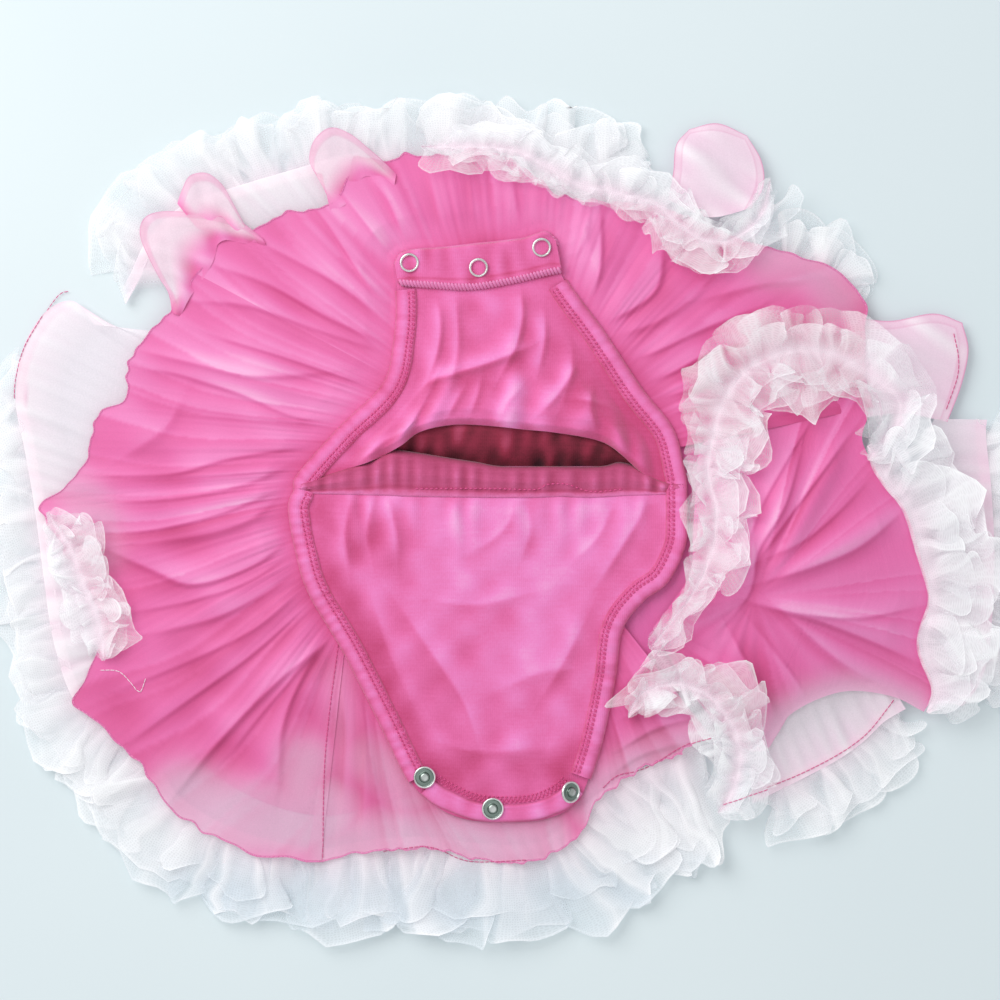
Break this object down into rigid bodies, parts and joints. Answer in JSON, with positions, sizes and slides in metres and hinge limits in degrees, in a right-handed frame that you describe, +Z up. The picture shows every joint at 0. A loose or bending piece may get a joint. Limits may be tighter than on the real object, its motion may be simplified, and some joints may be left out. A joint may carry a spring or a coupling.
{
  "type": "baby tutu skirt",
  "caption": "Pink chiffon tutu skirt with white net ruffles and an attached snap bloomer, laid flat with its inside up and its crotch open.",
  "frame": {"origin": "bottom centre of the bounding box, on the surface that the skirt lies on", "axes": "+Z up from the surface, +Y towards the bloomer's front, +X towards the folded side"},
  "size_m": [0.512, 0.4128, 0.033],
  "materials": {
    "chiffon_bright": "sheer bright pink chiffon in gathered pleats",
    "chiffon_hidden": "several gathered layers of pink chiffon",
    "chiffon_pale": "one layer of sheer pink chiffon over white",
    "net_white": "soft white net, crinkled",
    "cotton_jersey": "matt pink cotton jersey, coverstitched",
    "cotton_shaded": "the same jersey inside the waist",
    "nickel": "plated snap fasteners"
  },
  "bodies": {
    "root": {"back_panel": "cotton_jersey", "crotch_facing_front": "cotton_jersey", "crotch_hem_back": "cotton_jersey", "front_panel": "cotton_jersey", "leg_hem_left_back": "cotton_jersey", "leg_hem_left_front": "cotton_jersey", "leg_hem_right_back": "cotton_jersey", "leg_hem_right_front": "cotton_jersey", "lining_back": "chiffon_bright", "lining_front": "chiffon_bright", "lining_side_fold": "chiffon_bright", "ruffle_bottom": "net_white", "ruffle_bottom_left": "net_white", "ruffle_bottom_right": "net_white", "ruffle_fold_low": "net_white", "ruffle_left": "net_white", "ruffle_left_turned": "net_white", "ruffle_low_right": "net_white", "ruffle_right": "net_white", "ruffle_side_left": "net_white", "ruffle_side_right": "net_white", "ruffle_top": "net_white", "ruffle_top_left": "net_white", "ruffle_top_right": "net_white", "ruffle_top_turned": "net_white", "snap_socket_left": "nickel", "snap_socket_middle": "nickel", "snap_socket_right": "nickel", "snap_stud_left": "nickel", "snap_stud_middle": "nickel", "snap_stud_right": "nickel", "tier_corner_right": "chiffon_pale", "tier_left": "chiffon_pale", "tier_loop_top": "chiffon_pale", "tier_low_right": "chiffon_pale", "tier_right": "chiffon_pale", "tier_top_left": "chiffon_pale", "under_tiers_back": "chiffon_hidden", "under_tiers_front": "chiffon_hidden", "under_tiers_left": "chiffon_hidden", "under_tiers_right": "chiffon_hidden", "waistband_back": "cotton_jersey", "waistband_front": "cotton_shaded"}
  },
  "joints": []
}
